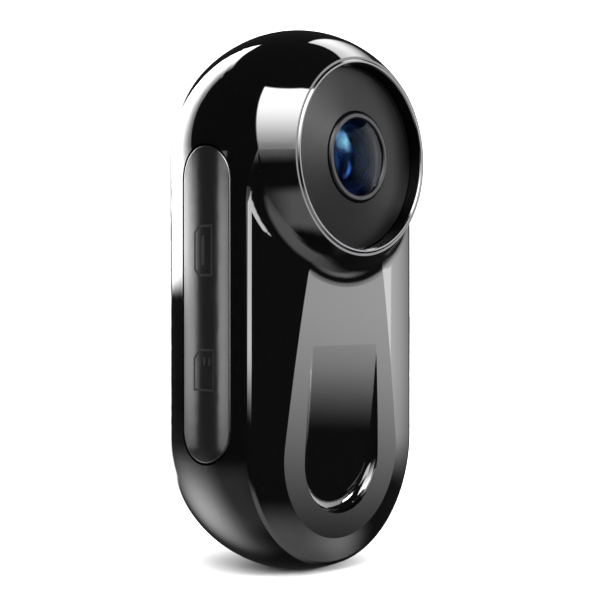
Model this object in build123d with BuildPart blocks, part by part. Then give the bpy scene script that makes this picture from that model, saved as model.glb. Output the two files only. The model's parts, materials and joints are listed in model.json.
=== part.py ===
from build123d import *
import os

# Wearable action camera. Millimetres, +Z up, lens looking along -Y, port cover on the -X side.
# The origin is the mouth of the tripod socket, so the body reaches a little below it.
# The body is a capsule of elliptical section whose lower front is cut back to a gently
# convex face, so that the uncut upper end stands out as the dome that carries the lens.

# ---- outer form -------------------------------------------------------------------------
half_width = 18.0        # half of the body width and radius of both rounded ends
low_z = 16.5             # centre of the lower rounded end
high_z = 54.7            # centre of the upper rounded end, also the lens axis
wide_y = -1.3            # plane where the body is widest
front_axis = 17.0        # half depth of the section ellipse in front of the widest plane
rear_axis = 18.5         # half depth of the section ellipse behind it
dome_y = -12.8           # flat front end of the dome
back_y = 13.0            # flat back
pillow_y = -10.65        # crown of the convex front face
pillow_radius = 47.7     # its radius
facet_y = -9.92          # flat thumb area, level at facet_z
facet_z = 36.0
facet_slope = 0.0335     # the thumb area falls back by this much per millimetre downwards
blend_radius = 4.0       # hollow blend between the dome and the front face
wall = 1.7               # wall thickness of the shell
far = 60.0               # reach of cutting blocks that pass clean through

# ---- thumb scoop ------------------------------------------------------------------------
scoop_radius = 7.6       # half width at its round lower end
scoop_z = 14.4           # centre of its round lower end
scoop_top_z = 29.5       # where its floor runs out into the thumb area
scoop_top_half = 7.8     # half width there, before the floor rounds into the walls
scoop_slope = 0.0455     # slope of the floor at its upper end
scoop_curve = 158.0      # radius of the floor, which falls away below that
scoop_arc = 8.9          # degrees of it, enough to pass the lower end
scoop_lead = 2.0         # straight run of the cutting form above the upper end
scoop_round = 1.3        # hollow rounding between the floor and the walls

# ---- inside of the shell ----------------------------------------------------------------
cavity_front_y = -6.0
cavity_rear_y = 9.4
dome_cavity_y = -8.4
dome_cavity_radius = 13.2
cover_plate_radius = 10.2
cover_plate_thick = 2.0
back_opening_radius = 9.2
fit_gap = 0.1
ear_offset = 5.5         # screw ears, measured from the centres of the rounded ends
ear_radius = 2.4

# ---- port cover on the -X side ----------------------------------------------------------
port_y = -0.9
port_z = 35.0
port_half = 4.35         # half width and end radius of the cover
port_length = 41.3
port_gap = 0.28
lip_x = -17.0            # underside of the lip around the opening
pocket_x = -12.6         # floor of the pocket behind the cover
pocket_grow = 0.75       # how far the pocket reaches under the lip
pocket_half = port_half + port_gap + pocket_grow
pocket_length = port_length + 2 * (port_gap + pocket_grow)
pocket_wall = 1.2
pin_x = -16.7
pin_z = port_z - port_length / 2 + 3.5
pin_radius = 0.4
pin_clearance = 0.05
body_lug_half = 1.2
cover_lug_inner = 1.5
cover_lug_outer = 2.9
lug_radius = 0.65

# ---- connectors -------------------------------------------------------------------------
usb_z = 42.0
usb_size = (7.6, 2.5)    # along Z and Y
card_z = 26.5
card_size = (15.0, 1.0, 11.0)
card_y = -0.7
card_out = 0.6           # how far the seated card stands out of the pocket floor

# ---- keys on the +X side ----------------------------------------------------------------
key_y = -1.3
shutter_z = 44.5
shutter_length = 10.0
power_z = 33.0
key_half = 2.3
key_gap = 0.15
key_proud = 0.3
light_z = 26.5
mic_z = 22.5

# ---- back -------------------------------------------------------------------------------
pad_radius = 6.5
pad_low_z = 22.5
pad_high_z = 48.5
pad_thick = 0.8
speaker_z = 59.3
back_screw_radius = 0.8
screw_head_radius = 1.45
screw_head_y = back_y - 0.25
screw_places = [(x, z) for z in (low_z - ear_offset, high_z + ear_offset) for x in (-ear_offset, ear_offset)]

# ---- lens stack (radii and positions along Y) -------------------------------------------
ring_outer = 12.9
ring_inner = 12.3
ring_y = -13.0
dish_outer_y = -11.1
dish_inner_y = -11.95
dish_back_y = -10.0
barrel_flange = 5.95
barrel_radius = 5.4
barrel_y = -12.25

# ---- boards and battery -----------------------------------------------------------------
board_y = 0.4            # front face of the main board
board_thick = 1.0
board_low_z = 14.0
board_high_z = 45.5
board_left_x = -11.0
board_right_x = 13.0
chip_places = [(8.0, 39.0, 2.6, 5.0), (8.0, 20.5, 4.0, 3.0), (8.5, 16.3, 5.0, 2.4), (-2.0, 16.1, 6.0, 2.0)]
sensor_board_y = 2.6
battery_y = 3.0
battery_size = (17.6, 6.0, 30.0)
battery_low_z = 14.5

# ---- tripod socket ----------------------------------------------------------------------
socket_radius = 3.175    # quarter inch thread, modelled at its nominal radius
socket_z = 0.0
socket_length = 7.0
socket_outer = 5.0
socket_boss = 6.6

os.makedirs("parts", exist_ok=True)


def save(solid, label):
    solid.label = label
    export_step(solid, f"parts/{label}.step")


def capsule(inset, front_y, rear_y):
    """Body form, set in by the given amount and ended by two flat planes across Y."""
    half = half_width - inset
    with BuildPart() as form:
        with BuildSketch(Plane.XY.offset(low_z)) as section:
            with BuildLine():
                EllipticalCenterArc((0, wide_y), half, front_axis - inset, start_angle=-90, arc_size=90)
                EllipticalCenterArc((0, wide_y), half, rear_axis - inset, start_angle=90, arc_size=-90)
                Line((0, wide_y + rear_axis - inset), (0, wide_y - front_axis + inset))
            make_face()
        revolve(axis=Axis((0, 0, low_z), (0, 1, 0)), revolution_arc=180)
        with BuildSketch(Plane.XY.offset(low_z)):
            add(section.sketch)
            mirror(about=Plane.YZ)
        extrude(amount=high_z - low_z)
        with BuildSketch(Plane.XY.offset(high_z)):
            add(section.sketch)
        revolve(axis=Axis((0, 0, high_z), (0, -1, 0)), revolution_arc=180)
        split(bisect_by=Plane.XZ.offset(-front_y), keep=Keep.BOTTOM)
        split(bisect_by=Plane.XZ.offset(-rear_y), keep=Keep.TOP)
    return form.part


def front_cutter():
    """Everything cut away below the lens: ahead of the convex face and of the thumb area."""
    with BuildPart() as tool:
        with BuildSketch(Plane.XY.offset(low_z)) as face:
            with BuildLine():
                arc = CenterArc((0, pillow_y + pillow_radius), pillow_radius, -90, 32)
                Line(arc @ 1, ((arc @ 1).X, -far))
                Line(((arc @ 1).X, -far), (0, -far))
                Line((0, -far), (0, pillow_y))
            make_face()
        revolve(axis=Axis((0, 0, low_z), (0, 1, 0)), revolution_arc=180)
        with BuildSketch(Plane.XY.offset(low_z)):
            add(face.sketch)
            mirror(about=Plane.YZ)
        extrude(amount=high_z - low_z)
        with BuildSketch(Plane.YZ):
            top = (facet_y - facet_slope * (high_z - facet_z), high_z)
            bottom = (facet_y + facet_slope * (facet_z + 8.0), -8.0)
            Polygon(top, bottom, (-far, -8.0), (-far, high_z), align=None)
        extrude(amount=25, both=True)
        with BuildSketch(Plane.XY.offset(high_z)):
            with BuildLine():
                EllipticalCenterArc((0, wide_y), half_width, front_axis, start_angle=-90, arc_size=90)
                Line((half_width, wide_y), (0, wide_y))
                Line((0, wide_y), (0, wide_y - front_axis))
            make_face()
        revolve(axis=Axis((0, 0, high_z), (0, 1, 0)), mode=Mode.SUBTRACT)
        base = tool.edges().filter_by_position(Axis.Z, high_z - half_width, high_z - 1.0)
        base = base.filter_by(lambda e: abs(e.center().X) < half_width and dome_y < e.center().Y < -7.0)
        fillet(base.filter_by(lambda e: e.length > 10), radius=blend_radius)
    return tool.part


def stadium(radius, length, thick_from, thick_to, center_y, center_z):
    """Upright stadium block seen along X, between two X positions."""
    with BuildPart() as block:
        with BuildSketch(Plane(origin=(thick_from, center_y, center_z), x_dir=(0, 1, 0), z_dir=(1, 0, 0))):
            SlotOverall(length, radius * 2, rotation=90)
        extrude(amount=thick_to - thick_from)
    return block.part


def back_stadium(radius, low_center, high_center, from_y, to_y):
    """Upright stadium block seen along Y, between two Y positions."""
    with BuildPart() as block:
        with BuildSketch(Plane(origin=(0, from_y, (low_center + high_center) / 2),
                               x_dir=(-1, 0, 0), z_dir=(0, 1, 0))):
            SlotCenterToCenter(high_center - low_center, radius * 2, rotation=90)
        extrude(amount=to_y - from_y)
    return block.part


def turned(points, center_z=high_z):
    """Solid of revolution about the lens axis from (radius, y) points."""
    with BuildPart() as piece:
        with BuildSketch(Plane.XY.offset(center_z)):
            Polygon(*points, align=None)
        revolve(axis=Axis((0, 0, center_z), (0, 1, 0)))
    return piece.part


def rod(radius, from_y, to_y, x, z):
    """Round block along Y."""
    return turned([(0, from_y), (radius, from_y), (radius, to_y), (0, to_y)], 0).moved(Location((x, 0, z)))


def block(x, y, z):
    """Box from three (low, high) pairs."""
    with BuildPart() as piece:
        with Locations(((x[0] + x[1]) / 2, (y[0] + y[1]) / 2, (z[0] + z[1]) / 2)):
            Box(x[1] - x[0], y[1] - y[0], z[1] - z[0])
    return piece.part


def dome_arc(axis_y, rim_y, radius):
    """Quarter profile of a spherical lens face, from the axis out to its rim."""
    sag = rim_y - axis_y
    ball = (radius ** 2 + sag ** 2) / (2 * sag)
    middle = (radius / 2, axis_y + ball - (ball ** 2 - radius ** 2 / 4) ** 0.5)
    return ThreePointArc((0, axis_y), middle, (radius, rim_y))


def on_cover_outline(edge):
    """True for the edges that run around the outer face of the port cover."""
    spot = edge.center()
    beyond = max(abs(spot.Z - port_z) - port_length / 2 + port_half, 0)
    return ((spot.Y - port_y) ** 2 + beyond ** 2) ** 0.5 > port_half - 0.1


# ---- shell ------------------------------------------------------------------------------
with BuildPart() as body_shell:
    add(capsule(0, dome_y, back_y))
    add(front_cutter(), mode=Mode.SUBTRACT)
    # thumb scoop: its floor leaves the thumb area along an arc and rounds into the walls
    with BuildPart(mode=Mode.PRIVATE) as scoop:
        with BuildSketch(Plane.XZ):
            with BuildLine():
                upper_end = scoop_top_z + scoop_lead
                Line((-scoop_radius, scoop_z), (-scoop_top_half, upper_end))
                Line((-scoop_top_half, upper_end), (scoop_top_half, upper_end))
                Line((scoop_top_half, upper_end), (scoop_radius, scoop_z))
                RadiusArc((scoop_radius, scoop_z), (-scoop_radius, scoop_z), scoop_radius)
            make_face()
        extrude(amount=20)
        with BuildSketch(Plane.YZ):
            start = (facet_y + facet_slope * (facet_z - scoop_top_z), scoop_top_z)
            lead_end = (start[0] - scoop_slope * scoop_lead, upper_end)
            with BuildLine():
                Line(lead_end, start)
                floor = JernArc(start, (scoop_slope, -1), scoop_curve, scoop_arc)
                Line(floor @ 1, (-far, (floor @ 1).Y))
                Line((-far, (floor @ 1).Y), (-far, upper_end))
                Line((-far, upper_end), lead_end)
            make_face()
        extrude(amount=20, both=True, mode=Mode.INTERSECT)
        floor_rim = scoop.edges().filter_by(lambda e: e.center().Y > -9.4 and e.center().Z < scoop_top_z - 1)
        fillet(floor_rim, radius=scoop_round)
    add(scoop.part, mode=Mode.SUBTRACT)
    # inside
    add(capsule(wall, cavity_front_y, cavity_rear_y), mode=Mode.SUBTRACT)
    add(rod(dome_cavity_radius, dome_cavity_y, cavity_front_y + 0.1, 0, high_z), mode=Mode.SUBTRACT)
    add(back_stadium(back_opening_radius, low_z, high_z, cavity_rear_y - 0.1, back_y), mode=Mode.SUBTRACT)
    add(back_stadium(cover_plate_radius + fit_gap, low_z, high_z, back_y - cover_plate_thick, back_y + 1),
        mode=Mode.SUBTRACT)
    # screw ears under the back cover
    for x, z in screw_places:
        add(rod(ear_radius, 6.5, back_y - cover_plate_thick, x, z))
        add(rod(back_screw_radius, 7.4, back_y, x, z), mode=Mode.SUBTRACT)
    # seats of the lens ring, the dish and the barrel
    add(rod(ring_outer + 0.05, dome_y - 1, -10.6, 0, high_z), mode=Mode.SUBTRACT)
    add(rod(ring_inner, -10.7, dish_back_y, 0, high_z), mode=Mode.SUBTRACT)
    add(rod(barrel_flange + fit_gap, dish_back_y - 0.1, dome_cavity_y + 0.1, 0, high_z), mode=Mode.SUBTRACT)
    # pocket walls behind the port cover and tripod boss, then the pocket itself
    with BuildPart(mode=Mode.PRIVATE) as inner_walls:
        add(stadium(pocket_half + pocket_wall, pocket_length + 2 * pocket_wall, -20, pocket_x + pocket_wall,
                    port_y, port_z))
        with Locations((0, 0, socket_z + 4.0)):
            Cylinder(socket_boss, 10.0)
        add(capsule(0.3, dome_y, back_y), mode=Mode.INTERSECT)
    add(inner_walls.part)
    add(stadium(pocket_half, pocket_length, lip_x, pocket_x, port_y, port_z), mode=Mode.SUBTRACT)
    add(stadium(port_half + port_gap, port_length + 2 * port_gap, -20, lip_x + 0.1, port_y, port_z),
        mode=Mode.SUBTRACT)
    # fixed lug for the pin of the port cover
    with BuildPart(mode=Mode.PRIVATE) as lug:
        with BuildSketch(Plane.XZ.offset(-port_y - body_lug_half)):
            with Locations((pin_x, pin_z)):
                Circle(lug_radius)
            with Locations(((pin_x + pocket_x + 0.2) / 2, pin_z + 0.15)):
                Rectangle(pocket_x + 0.2 - pin_x, 1.0)
            with Locations((pin_x, pin_z)):
                Circle(pin_radius, mode=Mode.SUBTRACT)
        extrude(amount=2 * body_lug_half)
    add(lug.part)
    # mouths of the USB port and of the card slot in the pocket floor
    usb_mouth = (usb_size[0] + 0.2, usb_size[1] + 0.2)
    add(block((pocket_x - 0.1, pocket_x + 1.3), (port_y - usb_mouth[1] / 2, port_y + usb_mouth[1] / 2),
              (usb_z - usb_mouth[0] / 2, usb_z + usb_mouth[0] / 2)), mode=Mode.SUBTRACT)
    add(block((pocket_x - 0.1, pocket_x + 1.3), (card_y - 0.7, card_y + 0.7),
              (card_z - card_size[2] / 2 - 0.3, card_z + card_size[2] / 2 + 0.3)), mode=Mode.SUBTRACT)
    # keys, indicator light and microphone on the other side
    add(stadium(key_half + key_gap, shutter_length + 2 * key_gap, 15.0, 20.0, key_y, shutter_z),
        mode=Mode.SUBTRACT)
    for z, radius in ((power_z, key_half + key_gap), (light_z, 0.95), (mic_z, 0.5)):
        with Locations(Location((17.0, key_y, z), (0, 90, 0))):
            Cylinder(radius, 6.0, mode=Mode.SUBTRACT)
    # bore of the tripod boss and its open mouth
    with Locations((0, 0, socket_z + 4.55)):
        Cylinder(socket_outer + 0.02, 9.1, mode=Mode.SUBTRACT)
    with Locations((0, 0, socket_z)):
        Cylinder(socket_radius + 0.3, 4.0, mode=Mode.SUBTRACT)
save(body_shell.part, "body_shell")

# ---- back ---------------------------------------------------------------------------------
cover_y = back_y - cover_plate_thick
with BuildPart() as back_cover:
    add(back_stadium(cover_plate_radius, low_z, high_z, cover_y + 0.05, back_y))
    for x, z in screw_places:
        add(rod(0.95, cover_y, back_y + 1, x, z), mode=Mode.SUBTRACT)
        add(rod(screw_head_radius + 0.1, back_y - 1.25, back_y + 1, x, z), mode=Mode.SUBTRACT)
    add(back_stadium(pad_radius, pad_low_z, pad_high_z, back_y - pad_thick, back_y + 1), mode=Mode.SUBTRACT)
    with Locations(Location((0, back_y, speaker_z), (90, 0, 0))):
        with PolarLocations(1.6, 6):
            Cylinder(0.35, 8.0, mode=Mode.SUBTRACT)
        Cylinder(0.35, 8.0, mode=Mode.SUBTRACT)
    outer = back_cover.edges().filter_by_position(Axis.Y, back_y - 0.01, back_y + 0.01)
    rim = outer.filter_by(lambda e: abs(e.center().X) > cover_plate_radius - 0.1 or e.length > 30)
    chamfer(rim, length=0.25)
save(back_cover.part, "back_cover")

with BuildPart() as back_pad:
    add(back_stadium(pad_radius - 0.05, pad_low_z, pad_high_z, back_y - pad_thick + 0.02, back_y))
    pad_middle = (0, back_y, (pad_low_z + pad_high_z) / 2)
    with BuildSketch(Plane(origin=pad_middle, x_dir=(-1, 0, 0), z_dir=(0, 1, 0))):
        with GridLocations(0, 3.0, 1, 9):
            SlotOverall(9.0, 0.7)
    extrude(amount=-0.3, mode=Mode.SUBTRACT)
save(back_pad.part, "back_pad")

with BuildPart() as back_seal:
    add(back_stadium(back_opening_radius - 0.15, low_z, high_z, cavity_rear_y + 0.5, cover_y + 0.03))
    add(back_stadium(back_opening_radius - 1.0, low_z, high_z, cavity_rear_y, back_y), mode=Mode.SUBTRACT)
    for x, z in screw_places:
        add(rod(ear_radius + 0.2, cavity_rear_y, back_y, x, z), mode=Mode.SUBTRACT)
save(back_seal.part, "back_seal")

with BuildPart() as case_screws:
    for x, z in screw_places:
        add(turned([(0, screw_head_y), (screw_head_radius - 0.15, screw_head_y),
                    (screw_head_radius, screw_head_y - 0.15), (screw_head_radius, screw_head_y - 1.0),
                    (back_screw_radius, screw_head_y - 1.0), (back_screw_radius, 7.8), (0, 7.4)],
                   0).moved(Location((x, 0, z))))
        with BuildSketch(Plane(origin=(x, screw_head_y, z), x_dir=(-1, 0, 0), z_dir=(0, 1, 0))):
            Rectangle(1.7, 0.4)
            Rectangle(0.4, 1.7)
        extrude(amount=-0.55, mode=Mode.SUBTRACT)
save(case_screws.part, "case_screws")

# ---- lens ---------------------------------------------------------------------------------
with BuildPart() as lens_ring:
    add(turned([(ring_inner + 0.05, -10.65), (ring_outer, -10.65), (ring_outer, ring_y + 0.2),
                (ring_outer - 0.2, ring_y), (ring_inner + 0.2, ring_y), (ring_inner + 0.05, ring_y + 0.15)]))
save(lens_ring.part, "lens_ring")

with BuildPart() as lens_dish:
    add(turned([(barrel_flange + 0.1, dish_back_y - 0.03), (ring_inner - 0.05, dish_back_y - 0.03),
                (ring_inner - 0.05, dish_outer_y), (barrel_flange + 0.25, dish_inner_y),
                (barrel_flange + 0.1, dish_inner_y + 0.15)]))
save(lens_dish.part, "lens_dish")

with BuildPart() as lens_barrel:
    add(turned([(5.15, barrel_y + 0.15), (5.3, barrel_y), (barrel_flange - 0.2, barrel_y),
                (barrel_flange, barrel_y + 0.2), (barrel_flange, dome_cavity_y - 0.2),
                (barrel_radius, dome_cavity_y - 0.2), (barrel_radius, 0.4), (3.2, 0.4), (3.2, -1.6),
                (3.6, -1.6), (3.6, -6.4), (4.3, -6.4), (4.3, -10.4), (5.15, -10.4)]))
save(lens_barrel.part, "lens_barrel")

with BuildPart() as lens_front:
    with BuildSketch(Plane.XY.offset(high_z)):
        with BuildLine():
            front = dome_arc(ring_y + 0.1, barrel_y + 0.2, 5.12)
            back = dome_arc(-11.9, -10.45, 3.9)
            Polyline(front @ 1, (5.12, -10.45), back @ 1)
            Line(back @ 0, front @ 0)
        make_face()
    revolve(axis=Axis((0, 0, high_z), (0, 1, 0)))
save(lens_front.part, "lens_front")

with BuildPart() as lens_spacer:
    add(turned([(3.3, -10.38), (4.25, -10.38), (4.25, -9.0), (2.9, -9.0)]))
save(lens_spacer.part, "lens_spacer")

with BuildPart() as lens_middle:
    with BuildSketch(Plane.XY.offset(high_z)):
        with BuildLine():
            front = dome_arc(-9.9, -8.95, 2.85)
            back = dome_arc(-7.2, -6.45, 3.3)
            Polyline(front @ 1, (4.25, -8.95), (4.25, -6.45), back @ 1)
            Line(back @ 0, front @ 0)
        make_face()
    revolve(axis=Axis((0, 0, high_z), (0, 1, 0)))
save(lens_middle.part, "lens_middle")

with BuildPart() as lens_rear:
    with BuildSketch(Plane.XY.offset(high_z)):
        with BuildLine():
            front = dome_arc(-6.0, -4.9, 3.5)
            Polyline(front @ 1, (3.5, -1.65), (0, -1.65), front @ 0)
        make_face()
    revolve(axis=Axis((0, 0, high_z), (0, 1, 0)))
save(lens_rear.part, "lens_rear")

with BuildPart() as lens_holder:
    add(turned([(barrel_radius + 0.05, -5.0), (6.8, -5.0), (6.8, 1.2), (barrel_radius + 0.05, 1.2)]))
    add(block((-7.6, 7.6), (1.0, sensor_board_y), (high_z - 7.6, high_z + 7.6)))
    add(block((-5.2, 5.2), (0.9, sensor_board_y + 0.1), (high_z - 5.2, high_z + 5.2)), mode=Mode.SUBTRACT)
    add(rod(barrel_radius + 0.05, -5.0, 1.1, 0, high_z), mode=Mode.SUBTRACT)
save(lens_holder.part, "lens_holder")

with BuildPart() as image_sensor:
    add(block((-4.0, 4.0), (1.7, sensor_board_y - 0.02), (high_z - 4.0, high_z + 4.0)))
save(image_sensor.part, "image_sensor")

with BuildPart() as sensor_board:
    add(block((-8.5, 8.5), (sensor_board_y + 0.02, sensor_board_y + 0.82), (high_z - 8.5, high_z + 8.5)))
save(sensor_board.part, "sensor_board")

# ---- electronics ----------------------------------------------------------------------------
with BuildPart() as main_board:
    add(block((board_left_x, board_right_x), (board_y, board_y + board_thick), (board_low_z, board_high_z)))
save(main_board.part, "main_board")

with BuildPart() as processor:
    add(block((-5.5, 5.5), (board_y - 1.25, board_y - 0.02), (34.3, 44.3)))
save(processor.part, "processor")

with BuildPart() as heat_spreader:
    add(block((-6.5, 6.5), (board_y - 1.75, board_y - 1.27), (33.5, 45.1)))
    add(block((-6.5, 6.5), (-5.6, board_y - 1.7), (33.5, 34.0)))
    add(block((-6.5, 6.5), (-5.6, -5.1), (33.5, 45.1)))
save(heat_spreader.part, "heat_spreader")

with BuildPart() as board_chips:
    for x, z, width, height in chip_places:
        add(block((x - width / 2, x + width / 2), (board_y - 0.9, board_y - 0.02),
                  (z - height / 2, z + height / 2)))
save(board_chips.part, "board_chips")

with BuildPart() as ribbon_cable:
    near = board_y + board_thick + 0.02
    behind = sensor_board_y + 0.85
    add(block((-4.0, 4.0), (near, near + 0.18), (board_high_z - 5.0, board_high_z + 0.45)))
    add(block((-4.0, 4.0), (near, behind + 0.2), (board_high_z + 0.27, board_high_z + 0.45)))
    add(block((-4.0, 4.0), (behind, behind + 0.2), (board_high_z + 0.27, high_z)))
save(ribbon_cable.part, "ribbon_cable")

with BuildPart() as battery:
    add(block((-battery_size[0] / 2, battery_size[0] / 2), (battery_y, battery_y + battery_size[1]),
              (battery_low_z, battery_low_z + battery_size[2])))
    fillet(battery.edges().filter_by(Axis.Z), radius=1.2)
save(battery.part, "battery")

with BuildPart() as battery_foam:
    add(block((-7.0, 7.0), (battery_y + battery_size[1] + 0.02, cover_y - 0.02), (16.5, 42.5)))
save(battery_foam.part, "battery_foam")

with BuildPart() as speaker:
    add(rod(2.9, 8.0, cover_y - 0.02, 0, speaker_z))
save(speaker.part, "speaker")

with BuildPart() as microphone:
    add(block((10.2, 12.8), (board_y - 1.2, board_y - 0.02), (mic_z - 1.6, mic_z + 1.6)))
save(microphone.part, "microphone")

with BuildPart() as light_pipe:
    with Locations(Location((16.2, key_y, light_z), (0, 90, 0))):
        Cylinder(0.85, 5.2)
    add(capsule(0.02, dome_y, back_y), mode=Mode.INTERSECT)
save(light_pipe.part, "light_pipe")

# ---- keys -----------------------------------------------------------------------------------
for label, length, z in (("shutter_key", shutter_length, shutter_z), ("power_key", 2 * key_half, power_z)):
    with BuildPart() as key:
        with BuildSketch(Plane(origin=(15.6, key_y, z), x_dir=(0, 1, 0), z_dir=(1, 0, 0))):
            Circle(key_half)
            if length > 2 * key_half:
                SlotOverall(length, 2 * key_half, rotation=90)
        extrude(amount=4.0)
        with Locations(Location((0, key_y, z), (0, 0, 180))):
            Cylinder(half_width + key_proud, 2 * shutter_length, mode=Mode.INTERSECT)
        crown = key.edges().filter_by_position(Axis.X, half_width - 0.2, half_width + 1)
        fillet(crown, radius=0.25)
        with BuildSketch(Plane(origin=(15.7, key_y, z), x_dir=(0, 1, 0), z_dir=(-1, 0, 0))):
            Circle(key_half + 0.65)
            if length > 2 * key_half:
                SlotOverall(length + 1.3, 2 * key_half + 1.3, rotation=90)
        extrude(amount=0.6)
        with Locations(Location((14.85, key_y, z), (0, 90, 0))):
            Cylinder(0.8, 0.6)
    save(key.part, label)

with BuildPart() as key_switches:
    for z in (shutter_z - 0.8, power_z):
        add(block((11.4, 13.6), (key_y - 1.4, board_y - 0.02), (z - 1.8, z + 1.8)))
        with Locations(Location((13.8, key_y, z), (0, 90, 0))):
            Cylinder(0.7, 0.5)
save(key_switches.part, "key_switches")

# ---- port cover -----------------------------------------------------------------------------
with BuildPart() as port_cover:
    add(stadium(port_half, port_length, -20, pin_x + 0.1, port_y, port_z))
    add(capsule(0, dome_y, back_y), mode=Mode.INTERSECT)
    face_rim = port_cover.edges().filter_by_position(Axis.X, -19, -17.2).filter_by(on_cover_outline)
    fillet(face_rim, radius=0.22)
    with BuildPart(mode=Mode.PRIVATE) as lugs:
        with BuildSketch(Plane.XZ.offset(-port_y - cover_lug_outer)):
            with Locations((pin_x, pin_z)):
                Circle(lug_radius + 0.15)
        extrude(amount=2 * cover_lug_outer)
        add(block((-20, 0), (port_y - cover_lug_inner, port_y + cover_lug_inner), (10, 30)),
            mode=Mode.SUBTRACT)
    add(lugs.part)
    # room for the fixed lug and for the pin
    add(block((pin_x - lug_radius - 0.15, 0), (port_y - cover_lug_inner, port_y + cover_lug_inner),
              (10, pin_z + 1.6)), mode=Mode.SUBTRACT)
    with Locations(Location((pin_x, port_y, pin_z), (90, 0, 0))):
        Cylinder(pin_radius + pin_clearance, 2 * cover_lug_outer - 0.4, mode=Mode.SUBTRACT)
save(port_cover.part, "port_cover")

with BuildPart() as cover_pin:
    with Locations(Location((pin_x, port_y, pin_z), (90, 0, 0))):
        Cylinder(pin_radius - 0.005, 2 * cover_lug_outer - 0.6)
save(cover_pin.part, "cover_pin")

with BuildPart() as cover_seal:
    seal_low = pin_z + 2.2
    seal_high = port_z + port_length / 2 - 0.8
    for radius, mode in ((port_half - 0.7, Mode.ADD), (port_half - 1.7, Mode.SUBTRACT)):
        add(stadium(radius, seal_high - seal_low - 2 * (port_half - 0.7 - radius), pin_x + 0.12, pin_x + 1.3,
                    port_y, (seal_low + seal_high) / 2), mode=mode)
save(cover_seal.part, "cover_seal")

# ---- connectors -----------------------------------------------------------------------------
with BuildPart() as usb_port:
    for grow, start, mode in ((0.0, pocket_x - 0.3, Mode.ADD), (-0.3, pocket_x - 1.0, Mode.SUBTRACT)):
        add(block((start, pocket_x + 4.6 + 2 * grow),
                  (port_y - usb_size[1] / 2 - grow, port_y + usb_size[1] / 2 + grow),
                  (usb_z - usb_size[0] / 2 - grow, usb_z + usb_size[0] / 2 + grow)), mode=mode)
save(usb_port.part, "usb_port")

with BuildPart() as usb_tongue:
    add(block((pocket_x + 0.5, pocket_x + 4.0), (port_y + 0.05, port_y + 0.6), (usb_z - 2.6, usb_z + 2.6)))
save(usb_tongue.part, "usb_tongue")

with BuildPart() as card_socket:
    add(block((pocket_x + 1.4, pocket_x + 15.6), (card_y - 0.85, board_y - 0.02),
              (card_z - card_size[2] / 2 - 0.9, card_z + card_size[2] / 2 + 0.9)))
    add(block((pocket_x, pocket_x + 14.9 - card_out + 0.3), (card_y - 0.6, card_y + 0.6),
              (card_z - card_size[2] / 2 - 0.1, card_z + card_size[2] / 2 + 0.1)), mode=Mode.SUBTRACT)
save(card_socket.part, "card_socket")

card_x = pocket_x - card_out
with BuildPart() as memory_card:
    with BuildSketch(Plane.XZ.offset(-card_y - card_size[1] / 2)):
        low = card_z - card_size[2] / 2
        high = card_z + card_size[2] / 2
        Polygon((card_x, low), (card_x + card_size[0], low), (card_x + card_size[0], high - 1.4),
                (card_x + 8.6, high - 1.4), (card_x + 7.6, high), (card_x, high), align=None)
    extrude(amount=card_size[1])
save(memory_card.part, "memory_card")

# ---- tripod socket --------------------------------------------------------------------------
with BuildPart() as tripod_insert:
    with Locations((0, 0, socket_z + 4.0)):
        Cylinder(socket_outer, 8.0)
    with Locations((0, 0, socket_z + socket_length / 2)):
        Cylinder(socket_radius, socket_length, mode=Mode.SUBTRACT)
    mouth = tripod_insert.edges().filter_by_position(Axis.Z, socket_z - 0.01, socket_z + 0.01)
    chamfer(mouth.sort_by(SortBy.RADIUS)[0], length=0.3)
save(tripod_insert.part, "tripod_insert")
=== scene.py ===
import json
import math

import bpy
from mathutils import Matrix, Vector
from mathutils.bvhtree import BVHTree


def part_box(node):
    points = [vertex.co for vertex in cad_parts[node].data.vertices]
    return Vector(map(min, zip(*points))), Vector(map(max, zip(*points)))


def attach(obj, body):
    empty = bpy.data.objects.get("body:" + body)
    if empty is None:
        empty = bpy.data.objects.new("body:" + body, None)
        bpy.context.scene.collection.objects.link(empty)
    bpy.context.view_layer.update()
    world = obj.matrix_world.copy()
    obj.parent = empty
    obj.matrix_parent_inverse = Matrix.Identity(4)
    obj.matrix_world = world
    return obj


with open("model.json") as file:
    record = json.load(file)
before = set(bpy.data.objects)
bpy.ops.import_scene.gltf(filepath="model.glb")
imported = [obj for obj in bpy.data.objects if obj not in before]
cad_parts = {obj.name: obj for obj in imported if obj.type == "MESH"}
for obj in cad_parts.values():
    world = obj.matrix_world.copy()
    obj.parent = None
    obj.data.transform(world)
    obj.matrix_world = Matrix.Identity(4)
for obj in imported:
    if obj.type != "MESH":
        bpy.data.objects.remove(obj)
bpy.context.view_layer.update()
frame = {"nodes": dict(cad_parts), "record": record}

MM = 0.001

# ---------------------------------------------------------------- camera, from the body's own middle
shell_low, shell_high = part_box("body_shell")
middle = Vector((0, 0, (shell_low.z + shell_high.z) / 2))
view_azimuth = math.radians(-47.83)
camera_away = 206.1 * MM
aim_forward = 2.32 * MM
ahead = Vector((-math.sin(view_azimuth), math.cos(view_azimuth), 0))
right = ahead.cross(Vector((0, 0, 1)))
up = Vector((0, 0, 1))

camera_data = bpy.data.cameras.new("camera_view")
camera_data.sensor_width = 36
camera_data.lens = 89.58
camera_data.shift_x = -0.0075
camera_data.shift_y = -0.0012
camera_data.clip_start = 0.005
camera_data.clip_end = 20
camera = bpy.data.objects.new("camera_view", camera_data)
bpy.context.scene.collection.objects.link(camera)
camera.location = middle - Vector((0, aim_forward, 0)) - ahead * camera_away
camera.rotation_euler = (math.pi / 2, 0, view_azimuth)
bpy.context.scene.camera = camera


# ---------------------------------------------------------------- node helpers
def new_material(name):
    """A material with nodes, its tree and its Principled shader."""
    material = bpy.data.materials.new(name)
    material.use_nodes = True
    tree = material.node_tree
    return material, tree, tree.nodes["Principled BSDF"]


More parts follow.
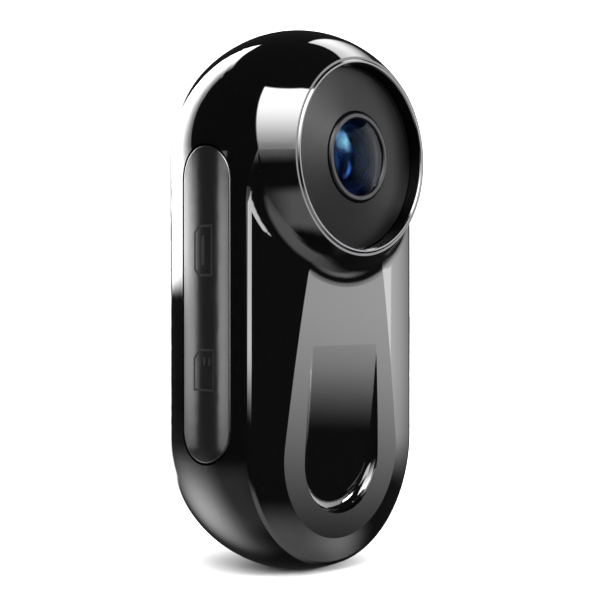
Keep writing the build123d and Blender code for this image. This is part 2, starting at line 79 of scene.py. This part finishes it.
def node(tree, kind, inputs=None, **settings):
    """A new shader node. An input that is a socket is linked, anything else is set on the input itself."""
    made = tree.nodes.new("ShaderNode" + kind)
    for key, value in settings.items():
        setattr(made, key, value)
    for key, value in (inputs or {}).items():
        if isinstance(value, bpy.types.NodeSocket):
            tree.links.new(value, made.inputs[key])
        else:
            made.inputs[key].default_value = value
    return made


def maths(tree, operation, first, second=0.0):
    return node(tree, "Math", {0: first, 1: second}, operation=operation).outputs[0]


def steps(tree, value, low, high, out_low=0.0, out_high=1.0, kind="SMOOTHSTEP"):
    """Value mapped from low..high to out_low..out_high."""
    made = node(
        tree,
        "MapRange",
        {0: value, 1: low, 2: high, 3: out_low, 4: out_high},
        interpolation_type=kind,
    )
    return made.outputs[0]


# ---------------------------------------------------------------- stage: floor, backdrop, softboxes
def mesh_object(name, points, faces, smooth=True):
    """A mesh object in the scene, from points in metres and faces as lists of point numbers."""
    mesh = bpy.data.meshes.new(name)
    mesh.from_pydata([tuple(p) for p in points], [], faces)
    mesh.validate()
    if smooth:
        mesh.shade_smooth()
    made = bpy.data.objects.new(name, mesh)
    bpy.context.scene.collection.objects.link(made)
    return made


def toward(azimuth, elevation):
    """Unit vector; azimuth runs clockwise from straight behind the object, seen from the camera."""
    a, e = math.radians(azimuth), math.radians(elevation)
    return math.cos(e) * (math.cos(a) * ahead + math.sin(a) * right) + math.sin(e) * up


def softbox(name, away, corners, strength, edge=0.03, fade=None, side=None):
    """A glowing patch of a sphere of radius away round the object. Its corners are (azimuth, elevation),
    lower left first and then round. fade and side are (share of the strength at the bottom or left edge,
    where along the height or width it is full)."""
    count = 24
    row_length = count + 1
    points = []
    for j in range(count + 1):
        for i in range(count + 1):
            s, t = i / count, j / count
            low, high = (
                [first + (second - first) * s for first, second in zip(corners[m], corners[n])]
                for m, n in ((0, 1), (3, 2))
            )
            spot = [first + (second - first) * t for first, second in zip(low, high)]
            points.append(middle + away * toward(*spot))
    faces = []
    for j in range(count):
        for i in range(count):
            a = j * row_length + i
            faces.append((a, a + 1, a + row_length + 1, a + row_length))
    made = mesh_object(name, points, faces)
    layer = made.data.uv_layers.new(name="across")
    for loop in made.data.loops:
        row, column = divmod(loop.vertex_index, row_length)
        layer.data[loop.index].uv = (column / count, row / count)
    material, tree, _ = new_material(name)
    tree.nodes.clear()
    uv = node(tree, "UVMap", uv_map="across").outputs[0]
    split = node(tree, "SeparateXYZ", {0: uv})
    glow = strength
    for axis, dim in ((0, side), (1, fade)):
        along = split.outputs[axis]
        near = maths(tree, "MINIMUM", along, maths(tree, "SUBTRACT", 1.0, along))
        glow = maths(tree, "MULTIPLY", steps(tree, near, 0.0, edge), glow)
        if dim:
            glow = maths(tree, "MULTIPLY", steps(tree, along, 0.0, dim[1], dim[0], 1.0), glow)
    emission = node(tree, "Emission", {"Strength": glow})
    clear = node(tree, "BsdfTransparent")
    both = node(tree, "AddShader", {0: emission.outputs[0], 1: clear.outputs[0]})
    output = node(tree, "OutputMaterial")
    tree.links.new(both.outputs[0], output.inputs[0])
    made.data.materials.append(material)
    made.visible_camera = False


def plain_stage(name, grey, strength):
    """Matt grey that glows white with the given strength."""
    material, _, shader = new_material(name)
    shader.inputs["Base Color"].default_value = (grey, grey, grey, 1)
    shader.inputs["Roughness"].default_value = 0.9
    shader.inputs["Specular IOR Level"].default_value = 0.0
    shader.inputs["Emission Color"].default_value = (1, 1, 1, 1)
    shader.inputs["Emission Strength"].default_value = strength
    return material


floor_radius = 3.0
floor_sides = 96
floor_turns = [math.tau * k / floor_sides for k in range(floor_sides)]
floor = mesh_object(
    "floor",
    [(floor_radius * math.cos(turn), floor_radius * math.sin(turn), shell_low.z) for turn in floor_turns],
    [tuple(range(floor_sides))],
    smooth=False,
)
# the floor glows white away from the object but not near it: a painted shadow round where it stands, over
# the real shadow it casts on the floor's grey
floor_painted_shadow = plain_stage("floor_painted_shadow", 0.3, 0.0)
floor_tree = floor_painted_shadow.node_tree
floor_place = node(floor_tree, "TexCoord").outputs["Object"]
from_middle = node(floor_tree, "VectorMath", {0: floor_place}, operation="LENGTH").outputs["Value"]
# no glow within 3 mm of the middle, full glow by 32 mm out: the dark disc between is painted shadow
floor_glow_painted_shadow = steps(floor_tree, from_middle, 3 * MM, 32 * MM, 0.0, 1.25)
floor_tree.links.new(floor_glow_painted_shadow, floor_tree.nodes["Principled BSDF"].inputs["Emission Strength"])
floor.data.materials.append(floor_painted_shadow)
floor.visible_glossy = False
floor.visible_transmission = False
floor.visible_shadow = False

# a white dome that only the camera sees, just inside the floor's rim
dome_radius = 2.99
dome_sides = 64
dome_rings = 12
dome_points, dome_faces = [], []
for j in range(dome_rings + 1):
    elevation = math.pi / 2 * j / dome_rings
    for k in range(dome_sides):
        turn = math.tau * k / dome_sides
        dome_points.append((
            dome_radius * math.cos(elevation) * math.cos(turn),
            dome_radius * math.cos(elevation) * math.sin(turn),
            shell_low.z + dome_radius * math.sin(elevation),
        ))
for j in range(dome_rings):
    for k in range(dome_sides):
        a, b = j * dome_sides + k, j * dome_sides + (k + 1) % dome_sides
        dome_faces.append((a, b, b + dome_sides, a + dome_sides))
backdrop = mesh_object("backdrop", dome_points, dome_faces)
backdrop.data.materials.append(plain_stage("backdrop_white", 0.8, 1.0))
for seen in ("visible_glossy", "visible_transmission", "visible_shadow", "visible_diffuse"):
    setattr(backdrop, seen, False)

# the glows add up where softboxes overlap, and each has its own radius, so that no two lie in one place
softbox("softbox_left", 1.10, [(-79, 0), (-38, 0), (-20, 52), (-54, 52)], 12.0, side=(0.12, 0.55))
softbox("softbox_back", 1.12, [(-38, -17), (-4, -17), (-4, 20), (-34, 20)], 3.5, edge=0.08)
softbox("softbox_front", 1.14, [(156, -6), (207, -6), (223, 60), (150, 60)], 26.0, fade=(0.0, 0.85))
softbox("softbox_edge", 1.16, [(127, -6.5), (160, -6.5), (160, 12), (127, 12)], 12.0, fade=(0.0, 0.2))
softbox("softbox_cover", 1.18, [(239, -9), (253, -9), (253, 9), (239, 9)], 5.4, edge=0.3)
softbox("softbox_cover_back", 1.19, [(-86, -9), (-62, -9), (-62, 9), (-86, 9)], 3.6, edge=0.35)
softbox("softbox_right_back", 1.20, [(13, 30), (52, 30), (56, 61), (10, 61)], 6.0, fade=(0.1, 0.7))
softbox("softbox_right", 1.22, [(34, -15), (97, -15), (97, 25), (34, 25)], 5.2, fade=(0.0, 0.33),
        side=(0.1, 0.6))
softbox("softbox_crease", 1.24, [(56, -14), (63, -14), (63, 20), (56, 20)], 2.0, edge=0.2)
softbox("softbox_lens", 1.26, [(97, 7), (117, 7), (117, 27), (97, 27)], 330.0, edge=0.5)
softbox("softbox_low_left", 1.28, [(-108, -68), (-20, -68), (-20, -4), (-108, -4)], 3.0, edge=0.5)
softbox("softbox_low_front", 1.30, [(55, -66), (215, -66), (215, -22), (55, -22)], 1.8, edge=0.25,
        side=(0.4, 0.6))
softbox("softbox_smile", 1.32, [(52, -38), (98, -38), (98, -22), (52, -22)], 1.6, edge=0.5)
softbox("softbox_floor", 1.34, [(-165, -80), (-10, -80), (-10, -12), (-165, -12)], 0.45, edge=0.3)
softbox("softbox_ceiling", 1.36, [(-180, 62), (180, 62), (180, 89), (-180, 89)], 0.4, edge=0.0)

world = bpy.data.worlds.new("studio")
bpy.context.scene.world = world
world.use_nodes = True
world.node_tree.nodes["Background"].inputs[0].default_value = (0.03, 0.03, 0.031, 1)
world.node_tree.nodes["Background"].inputs[1].default_value = 1.0
bpy.context.scene.view_settings.view_transform = "Standard"


# ---------------------------------------------------------------- materials
def lathe_rings(tree, place):
    """A wave that makes fine rings about the lens axis."""
    ring_spacing = 0.12 * MM
    centred = node(tree, "VectorMath", {0: place, 1: lens_centre}, operation="SUBTRACT").outputs[0]
    split = node(tree, "SeparateXYZ", {0: centred})
    flat = node(tree, "CombineXYZ", {0: split.outputs[0], 1: split.outputs[2]}).outputs[0]
    radius = node(tree, "VectorMath", {0: flat}, operation="LENGTH").outputs["Value"]
    return maths(tree, "SINE", maths(tree, "MULTIPLY", radius, math.tau / ring_spacing))


def finish(name, colour, roughness, haze, grain, height, metallic=0.0, specular=0.5):
    """Colour on the shader's socket, an uneven roughness and a fine surface relief.
    haze is how much the roughness varies, height the relief in metres, and grain the relief's noise
    scale per metre, or None for lathe rings."""
    material, tree, shader = new_material(name)
    place = node(tree, "TexCoord").outputs["Object"]
    cloud = node(tree, "TexNoise", {"Vector": place, "Scale": 260.0, "Detail": 5.0, "Roughness": 0.6})
    rough = steps(tree, cloud.outputs[0], 0.35, 0.75, roughness, roughness + haze, "LINEAR")
    tree.links.new(rough, shader.inputs["Roughness"])
    if grain is None:
        relief = lathe_rings(tree, place)
    else:
        relief = node(tree, "TexNoise", {"Vector": place, "Scale": grain, "Detail": 3.0}).outputs[0]
    bump = node(tree, "Bump", {"Height": relief, "Strength": 1.0, "Distance": height})
    tree.links.new(bump.outputs[0], shader.inputs["Normal"])
    shader.inputs["Base Color"].default_value = (*colour, 1)
    shader.inputs["Metallic"].default_value = metallic
    shader.inputs["Specular IOR Level"].default_value = specular
    return material


def glass(name, colour, tint, specular, ior=1.6):
    """Coated lens glass: a tinted reflection over a darkened body, with a trace of dust."""
    material, tree, shader = new_material(name)
    place = node(tree, "TexCoord").outputs["Object"]
    dust = node(tree, "TexNoise", {"Vector": place, "Scale": 900.0, "Detail": 6.0, "Roughness": 0.7})
    rough = steps(tree, dust.outputs[0], 0.55, 0.8, 0.0, 0.012, "LINEAR")
    tree.links.new(rough, shader.inputs["Roughness"])
    shader.inputs["Base Color"].default_value = (*colour, 1)
    shader.inputs["Transmission Weight"].default_value = 1.0
    shader.inputs["IOR"].default_value = ior
    shader.inputs["Specular IOR Level"].default_value = specular
    shader.inputs["Specular Tint"].default_value = (*tint, 1)
    return material


ring_low, ring_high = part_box("lens_ring")
lens_centre = (ring_low + ring_high) / 2

looks = {
    "gloss_shell": finish("gloss_shell_look", (0.0004, 0.0004, 0.00045), 0.01, 0.03, 7000.0, 0.1e-6),
    "satin_cover": finish("satin_cover_look", (0.0022, 0.0022, 0.0023), 0.13, 0.02, 6000.0, 0.8e-6),
    "satin_case": finish("satin_case_look", (0.011, 0.011, 0.012), 0.42, 0.08, 4200.0, 9e-6),
    "grip_rubber": finish("grip_rubber_look", (0.013, 0.013, 0.0135), 0.72, 0.12, 3600.0, 14e-6),
    "seal_rubber": finish("seal_rubber_look", (0.02, 0.02, 0.021), 0.8, 0.1, 3600.0, 8e-6),
    "screw_steel": finish("screw_steel_look", (0.22, 0.22, 0.23), 0.28, 0.12, 6000.0, 2e-6, 1.0),
    "ring_chrome": finish("ring_chrome_look", (0.075, 0.075, 0.078), 0.1, 0.05, None, 0.3e-6, 1.0),
    "dish_black": finish("dish_black_look", (0.001, 0.001, 0.0011), 0.34, 0.05, None, 0.9e-6, 0.0, 0.04),
    "barrel_black": finish("barrel_black_look", (0.012, 0.012, 0.013), 0.3, 0.05, None, 0.8e-6, 1.0),
    "lens_glass": glass("lens_glass_look", (0.1, 0.2, 0.42), (0.05, 0.5, 1.0), 0.8, ior=1.1),
    "inner_glass": glass("inner_glass_look", (0.7, 0.6, 0.5), (1.0, 0.62, 0.3), 0.2),
    "sensor_glass": finish("sensor_glass_look", (0.01, 0.02, 0.05), 0.05, 0.05, 5000.0, 0.3e-6),
    "inner_plastic": finish("inner_plastic_look", (0.012, 0.012, 0.012), 0.5, 0.1, 3000.0, 6e-6),
    "board_green": finish("board_green_look", (0.01, 0.06, 0.03), 0.3, 0.15, 1800.0, 10e-6),
    "chip_black": finish("chip_black_look", (0.015, 0.015, 0.016), 0.55, 0.1, 4000.0, 6e-6),
    "shield_steel": finish("shield_steel_look", (0.5, 0.5, 0.5), 0.3, 0.15, 2600.0, 3e-6, 1.0),
    "ribbon_amber": finish("ribbon_amber_look", (0.35, 0.15, 0.03), 0.35, 0.1, 2000.0, 4e-6),
    "battery_wrap": finish("battery_wrap_look", (0.03, 0.045, 0.08), 0.3, 0.15, 900.0, 12e-6),
    "light_clear": finish("light_clear_look", (0.16, 0.18, 0.2), 0.35, 0.1, 4000.0, 3e-6),
    "insert_brass": finish("insert_brass_look", (0.6, 0.42, 0.16), 0.25, 0.15, 5000.0, 3e-6, 1.0),
    "card_plastic": finish("card_plastic_look", (0.012, 0.012, 0.014), 0.35, 0.1, 4200.0, 5e-6),
    "key_gloss": finish("key_gloss_look", (0.0006, 0.0006, 0.0007), 0.06, 0.05, 6500.0, 0.3e-6),
}
slot_of = {part["node"]: part["material_slot"] for part in frame["record"]["subparts"]}
for name, carried in frame["nodes"].items():
    for slot in carried.material_slots:
        slot.material = looks[slot_of[name]]


# ---------------------------------------------------------------- small rounding along the front ridge
def spot_key(point):
    """The same key for points of different faces that lie in one place."""
    return tuple(round(value / key_size) for value in point)


def outline_distance(point):
    """Distance from the middle line of the body outline, in the XZ plane."""
    height = min(max(point.z, low_centre), high_centre)
    return math.hypot(point.x, point.z - height)


key_size = 0.002 * MM
half_width = shell_high.z - lens_centre.z
low_centre = shell_low.z + half_width
high_centre = lens_centre.z
shell = frame["nodes"]["body_shell"].data
beside = {}  # for each edge, the normal and the two ends from each face beside it
for face in shell.polygons:
    corners = [shell.vertices[i].co for i in face.vertices]
    for first, second in zip(corners, corners[1:] + corners[:1]):
        edge = frozenset((spot_key(first), spot_key(second)))
        beside.setdefault(edge, []).append((face.normal.copy(), first.copy(), second.copy()))

linked = {}  # for each point of the ridge, the points next to it
flanks = {}  # for each point, the sums of the side and front normals
places = {}
for edge, faces in beside.items():
    if len(faces) != 2 or len(edge) != 2:
        continue
    front_first = sorted(faces, key=lambda item: item[0].y)
    front_normal, side_normal = front_first[0][0], front_first[1][0]
    mid = (faces[0][1] + faces[0][2]) / 2
    if front_normal.y > -0.8 or abs(side_normal.y) > 0.7 or front_normal.dot(side_normal) > 0.9:
        continue
    if mid.y > shell_low.y * 0.35 or outline_distance(mid) < 0.8 * half_width:
        continue
    a, b = tuple(edge)
    linked.setdefault(a, []).append(b)
    linked.setdefault(b, []).append(a)
    for point in faces[0][1:]:
        key = spot_key(point)
        places[key] = point
        pair = flanks.setdefault(key, [Vector(), Vector()])
        pair[0] += side_normal
        pair[1] += front_normal

walk = []
ridge_ends = sorted(key for key, near in linked.items() if len(near) == 1)
next_key = max(ridge_ends, key=lambda key: places[key].z)
while next_key is not None:
    walk.append(next_key)
    next_key = next((near for near in linked[next_key] if near not in walk), None)

# reach from the edge and height over the surface in mm, and how far the normal has turned to the front
columns = ((0.22, -0.01, 0.0), (0.1, 0.012, 0.62), (0.0, 0.0, 0.68), (0.28, 0.012, 0.76), (0.6, -0.01, 1.0))
ridge_sides = len(columns) + 1
keel_depth = 0.12
ridge_points, ridge_normals, ridge_faces = [], [], []
for i, key in enumerate(walk):
    here = places[key]
    along = (places[walk[min(i + 1, len(walk) - 1)]] - places[walk[max(i - 1, 0)]]).normalized()
    side_normal, front_normal = (normal.normalized() for normal in flanks[key])
    side_way = along.cross(side_normal).normalized()
    side_way *= -1 if side_way.dot(front_normal) > 0 else 1
    front_way = along.cross(front_normal).normalized()
    front_way *= -1 if front_way.dot(side_normal) > 0 else 1
    for c, (reach, rise, turn) in enumerate(columns):
        way, normal = (side_way, side_normal) if c < 2 else (front_way, front_normal)
        ridge_points.append(here + (way * reach + normal * rise) * MM)
        ridge_normals.append(side_normal.slerp(front_normal, turn))
    ridge_points.append(here - (side_normal + front_normal) * keel_depth * MM)
    ridge_normals.append(-(side_normal + front_normal).normalized())
for i in range(len(walk) - 1):
    for c in range(ridge_sides):
        a, b = ridge_sides * i + c, ridge_sides * i + (c + 1) % ridge_sides
        ridge_faces.append((a, b, b + ridge_sides, a + ridge_sides))
last_row = ridge_sides * (len(walk) - 1)
ridge_faces.append(tuple(reversed(range(ridge_sides))))
ridge_faces.append(tuple(range(last_row, last_row + ridge_sides)))
facing = (ridge_points[1] - ridge_points[0]).cross(ridge_points[ridge_sides] - ridge_points[0])
if facing.dot(ridge_normals[0]) < 0:
    ridge_faces = [face[::-1] for face in ridge_faces]
ridge = mesh_object("ridge_rounding", ridge_points, ridge_faces)
ridge.data.normals_split_custom_set_from_vertices([tuple(n) for n in ridge_normals])
ridge.data.materials.append(looks["gloss_shell"])
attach(ridge, "camera")

# ---------------------------------------------------------------- pictograms printed on the port cover
cover_mesh = frame["nodes"]["port_cover"].data
cover_tree = BVHTree.FromPolygons(
    [v.co for v in cover_mesh.vertices], [tuple(p.vertices) for p in cover_mesh.polygons]
)


def on_cover(y, z, lift):
    """The point of the cover's outer face at (y, z), raised by lift."""
    hit, normal, _, _ = cover_tree.ray_cast(Vector((-0.1, y, z)), Vector((1, 0, 0)))
    return hit + normal * lift


def printed_line(name, outline, centre, width=0.3, closed=True):
    """A line of ink of the given width in mm that follows the cover. outline is (y, z) in mm from centre."""
    longest_step = 0.4
    under, over = -0.05, 0.02
    dense = []
    spans = zip(outline, outline[1:] + outline[:1]) if closed else zip(outline, outline[1:])
    for (y0, z0), (y1, z1) in spans:
        count = max(2, math.ceil(math.dist((y0, z0), (y1, z1)) / longest_step))
        dense += [(y0 + (y1 - y0) * k / count, z0 + (z1 - z0) * k / count) for k in range(count)]
    if not closed:
        dense.append(outline[-1])
    points, faces = [], []
    total = len(dense)
    for k, (y, z) in enumerate(dense):
        before = dense[k - 1] if closed or k else (y, z)
        after = dense[(k + 1) % total] if closed or k < total - 1 else (y, z)
        into = Vector((y - before[0], z - before[1])).normalized()
        out = Vector((after[0] - y, after[1] - z)).normalized()
        along = (into + out).normalized()
        mitre = max(0.5, along.dot(out if out.length else into))
        side = Vector((-along.y, along.x)) * (width / 2 / mitre)
        for way, lift in ((1, under), (1, over), (-1, over), (-1, under)):
            points.append(on_cover(
                centre[0] + (y + way * side.x) * MM, centre[1] + (z + way * side.y) * MM, lift * MM
            ))
    for k in range(total if closed else total - 1):
        for c in range(4):
            a, b = 4 * k + c, 4 * k + (c + 1) % 4
            d = 4 * ((k + 1) % total)
            faces.append((a, b, d + (c + 1) % 4, d + c))
    if not closed:
        faces += [(3, 2, 1, 0), tuple(range(4 * total - 4, 4 * total))]
    made = mesh_object(name, points, faces, smooth=False)
    made.data.materials.append(ink)
    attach(made, "port_cover")


ink = finish("cover_ink_look", (0.0012, 0.0012, 0.0013), 0.5, 0.1, 6000.0, 4e-6, specular=0.15)
cover_low, cover_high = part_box("port_cover")
usb_low, usb_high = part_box("usb_port")
card_low, card_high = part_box("memory_card")
cover_middle = (cover_low.y + cover_high.y) / 2
usb_spot = (cover_middle, (usb_low.z + usb_high.z) / 2)
card_spot = (cover_middle, (card_low.z + card_high.z) / 2)
port_outline = [(-1.5, -3.2), (0.9, -3.2), (1.7, -2.4), (1.7, 2.4), (0.9, 3.2), (-1.5, 3.2)]
card_outline = [(-1.8, -2.6), (1.8, -2.6), (1.8, 1.5), (0.7, 2.6), (-1.8, 2.6)]
printed_line("mark_port", port_outline, usb_spot)
printed_line("mark_port_tongue", [(0.1, -1.9), (0.1, 1.9)], usb_spot, width=0.6, closed=False)
printed_line("mark_card", card_outline, card_spot)
for k in range(3):
    contact = [(-1.1 + 0.9 * k, 0.6), (-1.1 + 0.9 * k, 1.6)]
    printed_line(f"mark_card_contact_{k}", contact, card_spot, width=0.35, closed=False)

# ---------------------------------------------------------------- thread inside the tripod socket
insert_low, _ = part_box("tripod_insert")
pitch = 25.4 / 20 * MM
bore = 3.175 * MM
first_height = insert_low.z + 0.45 * MM
steps_per_turn = 40
thread_steps = 5 * steps_per_turn
runout_steps = 12
# how far each corner of the thread's section stands in from the bore, and its height, in mm
thread_section = ((-0.06, -0.42), (0.5, -0.07), (0.5, 0.07), (-0.06, 0.42))
thread_points, thread_faces = [], []
for k in range(thread_steps + 1):
    turn = math.tau * k / steps_per_turn
    height = first_height + pitch * k / steps_per_turn
    runout = min(1.0, k / runout_steps, (thread_steps - k) / runout_steps)
    for inward, offset in thread_section:
        radius = bore - inward * MM * (runout if inward > 0 else 1)
        corner_height = height + offset * MM * runout
        thread_points.append((radius * math.cos(turn), radius * math.sin(turn), corner_height))
for k in range(thread_steps):
    for c in range(4):
        a, b = 4 * k + c, 4 * k + (c + 1) % 4
        thread_faces.append((a, b, b + 4, a + 4))
thread_faces += [(3, 2, 1, 0), tuple(range(len(thread_points) - 4, len(thread_points)))]
thread = mesh_object("socket_thread", thread_points, thread_faces, smooth=False)
thread.data.materials.append(looks["insert_brass"])
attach(thread, "camera")
